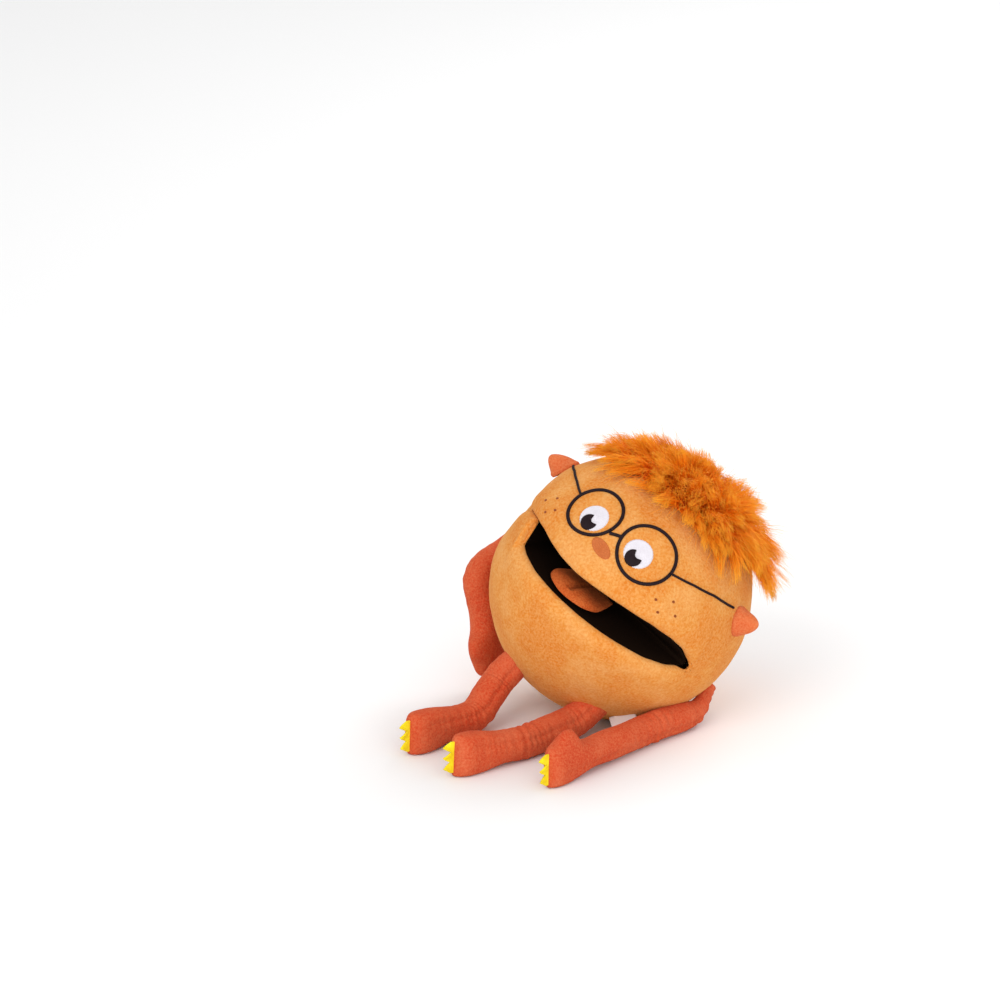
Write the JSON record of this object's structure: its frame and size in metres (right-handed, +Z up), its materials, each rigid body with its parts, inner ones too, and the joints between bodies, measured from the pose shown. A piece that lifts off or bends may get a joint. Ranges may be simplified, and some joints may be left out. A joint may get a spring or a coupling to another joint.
{
  "type": "moving mouth puppet",
  "caption": "Ball-shaped plush hand puppet whose upper half opens as a mouth, with soft tongue, long-pile hair, stitched glasses, and floppy arms and legs with felt claws.",
  "frame": {"origin": "centre of the flat patch under the belly that the puppet rests on", "axes": "-Y is the side the face looks to, +Z is up; the ball leans back and over to its left, towards +X"},
  "size_m": [0.2419, 0.2821, 0.1959],
  "materials": {
    "plush_orange": "short-pile plush, brushed, matt",
    "plush_orange_red": "short-pile plush, matt",
    "fur_orange": "long-pile fur, soft sheen",
    "lining_black": "smooth black cloth, matt",
    "embroidery_dark": "satin stitch, soft sheen",
    "embroidery_white": "satin stitch, soft sheen",
    "embroidery_orange": "satin stitch, soft sheen",
    "embroidery_brown": "stitched dot",
    "plush_brown": "velour, matt",
    "felt_yellow": "felt, matt",
    "label_white": "woven satin tape",
    "fibre_fill": "polyester fibre, matt",
    "board_grey": "flexible sheet, matt"
  },
  "bodies": {
    "belly": {"belly_skin": "plush_orange", "belly_stuffing": "fibre_fill", "lower_palate": "board_grey", "mouth_lining_lower": "lining_black", "mouth_lining_fold": "lining_black", "thumb_pocket": "lining_black", "back_panel": "plush_orange", "opening_binding": "plush_orange_red", "care_label": "label_white"},
    "head": {"head_skin": "plush_orange", "head_stuffing": "fibre_fill", "finger_pocket": "lining_black", "upper_palate": "board_grey", "mouth_lining_upper": "lining_black", "hair_patch": "fur_orange", "nose_patch": "embroidery_orange", "glasses_bridge": "embroidery_dark", "ear_left": "plush_orange_red", "eye_white_left": "embroidery_white", "pupil_left": "embroidery_dark", "glasses_ring_left": "embroidery_dark", "glasses_temple_left": "embroidery_dark", "freckle_left_1": "embroidery_brown", "freckle_left_2": "embroidery_brown", "freckle_left_3": "embroidery_brown", "freckle_left_4": "embroidery_brown", "ear_right": "plush_orange_red", "eye_white_right": "embroidery_white", "pupil_right": "embroidery_dark", "glasses_ring_right": "embroidery_dark", "glasses_temple_right": "embroidery_dark", "freckle_right_1": "embroidery_brown", "freckle_right_2": "embroidery_brown", "freckle_right_3": "embroidery_brown", "freckle_right_4": "embroidery_brown"},
    "tongue": {"tongue": "plush_brown"},
    "arm_left": {"arm_left_upper": "plush_orange_red"},
    "forearm_left": {"arm_left_lower": "plush_orange_red", "arm_left_claws": "felt_yellow"},
    "arm_right": {"arm_right_upper": "plush_orange_red"},
    "forearm_right": {"arm_right_lower": "plush_orange_red", "arm_right_claws": "felt_yellow"},
    "leg_left": {"leg_left_upper": "plush_orange_red"},
    "foot_left": {"leg_left_lower": "plush_orange_red", "leg_left_claws": "felt_yellow"},
    "leg_right": {"leg_right_upper": "plush_orange_red"},
    "foot_right": {"leg_right_lower": "plush_orange_red", "leg_right_claws": "felt_yellow"}
  },
  "joints": [
    {"name": "mouth_open", "type": "hinge", "parent": "belly", "child": "head", "pos_m": [0, -0.02537, 0.09923], "axis": [-0.848, 0.1812, 0.498], "range_deg": [-7, 30], "deforming": ["back_panel", "opening_binding"]},
    {"name": "tongue_lift", "type": "hinge", "parent": "belly", "child": "tongue", "pos_m": [-0.00068, -0.04079, 0.10368], "axis": [-0.848, 0.1812, 0.498], "range_deg": [0, 10]},
    {"name": "arm_left_swing", "type": "hinge", "parent": "belly", "child": "arm_left", "pos_m": [0.066, -0.01, 0.0093], "axis": [0, 0, 1], "range_deg": [0, 40]},
    {"name": "elbow_left_lift", "type": "hinge", "parent": "arm_left", "child": "forearm_left", "pos_m": [0.052, -0.052, 0.0093], "axis": [-0.9798, 0.1998, 0], "range_deg": [0, 40]},
    {"name": "arm_right_swing", "type": "hinge", "parent": "belly", "child": "arm_right", "pos_m": [-0.095, 0.043, 0.113], "axis": [-0.8897, 0.4026, 0.2154], "range_deg": [0, 60]},
    {"name": "elbow_right_lift", "type": "hinge", "parent": "arm_right", "child": "forearm_right", "pos_m": [-0.119, -0.01, 0.088], "axis": [-1, 0, 0], "range_deg": [0, 75]},
    {"name": "leg_left_swing", "type": "hinge", "parent": "belly", "child": "leg_left", "pos_m": [-0.001, -0.074, 0.0113], "axis": [0, 0, 1], "range_deg": [-8, 10]},
    {"name": "knee_left_lift", "type": "hinge", "parent": "leg_left", "child": "foot_left", "pos_m": [-0.014, -0.118, 0.0113], "axis": [-0.8985, 0.4389, 0], "range_deg": [0, 60]},
    {"name": "leg_right_swing", "type": "hinge", "parent": "belly", "child": "leg_right", "pos_m": [-0.066, -0.066, 0.036], "axis": [0, 0, 1], "range_deg": [-15, 8]},
    {"name": "knee_right_lift", "type": "hinge", "parent": "leg_right", "child": "foot_right", "pos_m": [-0.07, -0.096, 0.0113], "axis": [-0.9527, 0.304, 0], "range_deg": [0, 30]}
  ]
}
